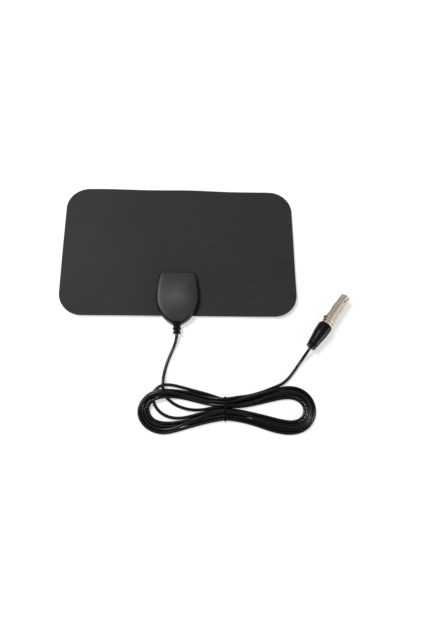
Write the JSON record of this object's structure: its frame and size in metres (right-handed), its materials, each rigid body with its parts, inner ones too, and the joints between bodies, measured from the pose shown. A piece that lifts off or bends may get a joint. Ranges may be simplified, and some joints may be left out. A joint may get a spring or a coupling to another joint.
{
  "type": "indoor tv antenna",
  "caption": "Flat laminated indoor television antenna with a shield-shaped housing on its lower edge, a thin coaxial lead tied in a hank and a coaxial aerial plug.",
  "frame": {"origin": "centre of the flat underside of the housing's rear cover, on the surface that the antenna lies on", "axes": "+X along the sheet's width, +Y up the sheet away from the cable, +Z away from the resting surface"},
  "size_m": [0.2882, 0.2527, 0.0142],
  "materials": {
    "film": "matt black film with a fine grain",
    "film_back": "matt black film",
    "foil": "bright rolled foil",
    "housing": "finely spark-textured black moulding with a soft sheen",
    "screw": "black zinc plating",
    "board": "green solder resist on glass laminate",
    "rivet": "plain brass",
    "ferrite": "sintered dark grey ferrite",
    "copper": "enamelled copper wire",
    "braid": "tinned copper strands",
    "solder": "smooth solder",
    "insulation": "white polyethylene",
    "jacket": "black soft vinyl with a satin sheen",
    "relief": "black soft vinyl moulding",
    "tie": "black plastic tie",
    "boot": "black moulded vinyl",
    "nickel": "warm turned nickel plating",
    "insulator": "black moulded insulator"
  },
  "bodies": {
    "root": {"front_cover": "housing", "rear_cover": "housing", "cover_screws": "screw", "front_film": "film", "back_film": "film_back", "left_foil": "foil", "right_foil": "foil", "circuit_board": "board", "contact_rivets": "rivet", "balun_core": "ferrite", "balun_winding": "copper", "strain_relief": "relief", "cable_end": "jacket", "cable_insulation": "insulation", "core_wire": "copper", "braid_tail": "braid", "solder_joints": "solder", "lead_cable": "jacket", "cable_hank": "jacket", "cable_tie": "tie", "plug_cable": "jacket", "plug_boot": "boot", "crimp_ferrule": "nickel", "plug_cable_end": "jacket", "plug_insulation": "insulation", "plug_shell": "nickel", "contact_sleeve": "nickel", "plug_insulator": "insulator", "centre_pin": "nickel"}
  },
  "joints": []
}
